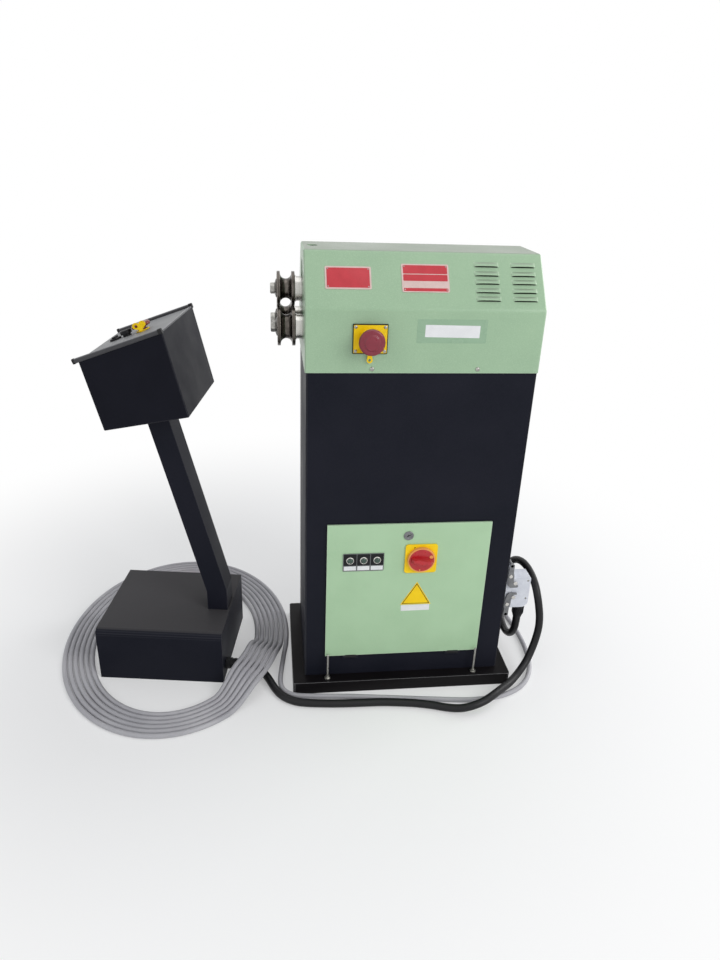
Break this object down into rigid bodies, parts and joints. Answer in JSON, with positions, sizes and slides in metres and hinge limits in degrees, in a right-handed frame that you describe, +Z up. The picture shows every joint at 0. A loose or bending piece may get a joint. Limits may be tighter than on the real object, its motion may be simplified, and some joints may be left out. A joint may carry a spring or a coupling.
{
  "type": "ring roller",
  "caption": "Floor-standing motorised ring roller: a cabinet under a folded hood, grooved rolls on stub shafts at one end, and a free foot console on a cable.",
  "frame": {"origin": "middle of the base plate's underside, on the floor", "axes": "+X along the roll shafts away from the rolls, -Y towards the side with the door, +Z up"},
  "size_m": [1.0885, 0.6595, 0.9185],
  "materials": {
    "green_paint": "semi-gloss powder coat",
    "black_paint": "satin powder coat",
    "motor_paint": "satin",
    "zinc_steel": "zinc plated",
    "bright_steel": "turned bright",
    "roll_steel": "hardened, oiled",
    "machined_plate": "machined",
    "cast_aluminium": "cast, fine blasted",
    "lamp_bezel": "polished ring round a green lens",
    "red_plastic": "gloss",
    "yellow_plastic": "semi-gloss",
    "dark_plastic": "matt",
    "black_rubber": "matt cable jacket",
    "grey_rubber": "matt cable jacket"
  },
  "bodies": {
    "machine": {"base_plate": "black_paint", "stud_front": "zinc_steel", "stud_rear": "zinc_steel", "cabinet_wrap": "black_paint", "cabinet_side": "black_paint", "hood": "green_paint", "head_plate": "machined_plate", "rear_plate": "machined_plate", "head_bearings": "bright_steel", "rear_bearings": "bright_steel", "gearbox": "motor_paint", "drive_motor": "motor_paint", "adjusting_motor": "motor_paint", "estop_plate": "yellow_plastic", "estop_tab": "yellow_plastic", "door_pin_front": "zinc_steel", "door_pin_rear": "zinc_steel", "switchgear": "dark_plastic", "connector_housing": "cast_aluminium", "connector_hood": "cast_aluminium", "connector_gland": "dark_plastic", "supply_gland": "dark_plastic", "console_base": "black_paint", "console_column": "black_paint", "console_desk": "black_paint", "console_stop_tab": "yellow_plastic", "console_gland": "dark_plastic", "control_cable": "black_rubber", "supply_cable": "grey_rubber", "supply_coil": "grey_rubber", "supply_plug": "red_plastic"},
    "near_roll": {"lower_shaft_near": "bright_steel", "lower_roll_near": "roll_steel", "roll_bolt_near": "zinc_steel", "lower_gear_near": "machined_plate"},
    "far_roll": {"lower_shaft_far": "bright_steel", "lower_roll_far": "roll_steel", "roll_bolt_far": "zinc_steel", "lower_gear_far": "machined_plate"},
    "pinion": {"drive_pinion": "machined_plate"},
    "slide": {"slide_block": "machined_plate"},
    "screw": {"adjusting_screw": "bright_steel"},
    "upper_roll": {"upper_shaft": "bright_steel", "upper_roll": "roll_steel", "roll_bolt_upper": "zinc_steel"},
    "machine_stop": {"estop_button": "red_plastic"},
    "door": {"door": "green_paint", "isolator_body": "yellow_plastic", "lamp_plate": "dark_plastic", "lamp_front": "lamp_bezel", "lamp_middle": "lamp_bezel", "lamp_rear": "lamp_bezel"},
    "isolator": {"isolator_knob": "red_plastic"},
    "lock": {"door_lock": "zinc_steel"},
    "upper_lever": {"connector_lever_upper": "zinc_steel"},
    "lower_lever": {"connector_lever_lower": "zinc_steel"},
    "selector": {"console_selector": "dark_plastic"},
    "button": {"console_button": "dark_plastic"},
    "console_stop": {"console_stop": "red_plastic"}
  },
  "joints": [
    {"name": "near_roll_turn", "type": "hinge", "parent": "machine", "child": "near_roll", "pos_m": [-0.2475, -0.0375, 0.777], "axis": [1, 0, 0], "continuous": true},
    {"name": "far_roll_turn", "type": "hinge", "parent": "machine", "child": "far_roll", "pos_m": [-0.2475, 0.0375, 0.777], "axis": [1, 0, 0], "continuous": true},
    {"name": "pinion_turn", "type": "hinge", "parent": "machine", "child": "pinion", "pos_m": [-0.0347, 0, 0.73811], "axis": [1, 0, 0], "continuous": true},
    {"name": "slide_lift", "type": "slide", "parent": "machine", "child": "slide", "axis": [0, 0, 1], "range_m": [-0.006, 0.03]},
    {"name": "upper_roll_turn", "type": "hinge", "parent": "slide", "child": "upper_roll", "pos_m": [-0.2475, 0, 0.84], "axis": [1, 0, 0], "continuous": true},
    {"name": "screw_turn", "type": "hinge", "parent": "machine", "child": "screw", "pos_m": [-0.1287, 0, 0.7], "axis": [0, 0, 1], "range_deg": [-3600, 720.5]},
    {"name": "machine_stop_press", "type": "slide", "parent": "machine", "child": "machine_stop", "axis": [0, 1, 0], "range_m": [0, 0.005]},
    {"name": "door_tilt", "type": "hinge", "parent": "machine", "child": "door", "pos_m": [-0.0032, -0.1283, 0.0782], "axis": [1, 0, 0], "range_deg": [0, 15]},
    {"name": "isolator_turn", "type": "hinge", "parent": "door", "child": "isolator", "pos_m": [0.022, -0.13, 0.3225], "axis": [0, 1, 0], "range_deg": [0, 90]},
    {"name": "lock_turn", "type": "hinge", "parent": "door", "child": "lock", "pos_m": [-0.0065, -0.13, 0.376], "axis": [0, -1, 0], "range_deg": [0, 90]},
    {"name": "upper_lever_swing", "type": "hinge", "parent": "machine", "child": "upper_lever", "pos_m": [0.2323, -0.0765, 0.25], "axis": [0, 1, 0], "range_deg": [0, 28]},
    {"name": "lower_lever_swing", "type": "hinge", "parent": "machine", "child": "lower_lever", "pos_m": [0.2323, -0.0765, 0.178], "axis": [0, -1, 0], "range_deg": [0, 28]},
    {"name": "selector_turn", "type": "hinge", "parent": "machine", "child": "selector", "pos_m": [-0.57463, 0.04686, 0.72864], "axis": [-0.3525, 0.05, 0.9345], "range_deg": [-45, 45]},
    {"name": "button_press", "type": "slide", "parent": "machine", "child": "button", "axis": [0.3525, -0.05, -0.9345], "range_m": [0, 0.004], "stiffness_N_per_m": 400, "springref_m": -0.003},
    {"name": "console_stop_press", "type": "slide", "parent": "machine", "child": "console_stop", "axis": [0.3525, -0.05, -0.9345], "range_m": [0, 0.004]}
  ],
  "couplings": [
    {"joint": "far_roll_turn", "follows": "near_roll_turn", "ratio": 1},
    {"joint": "pinion_turn", "follows": "near_roll_turn", "ratio": -1.4545},
    {"joint": "screw_turn", "follows": "slide_lift", "rad_per_m": -2094.4}
  ]
}
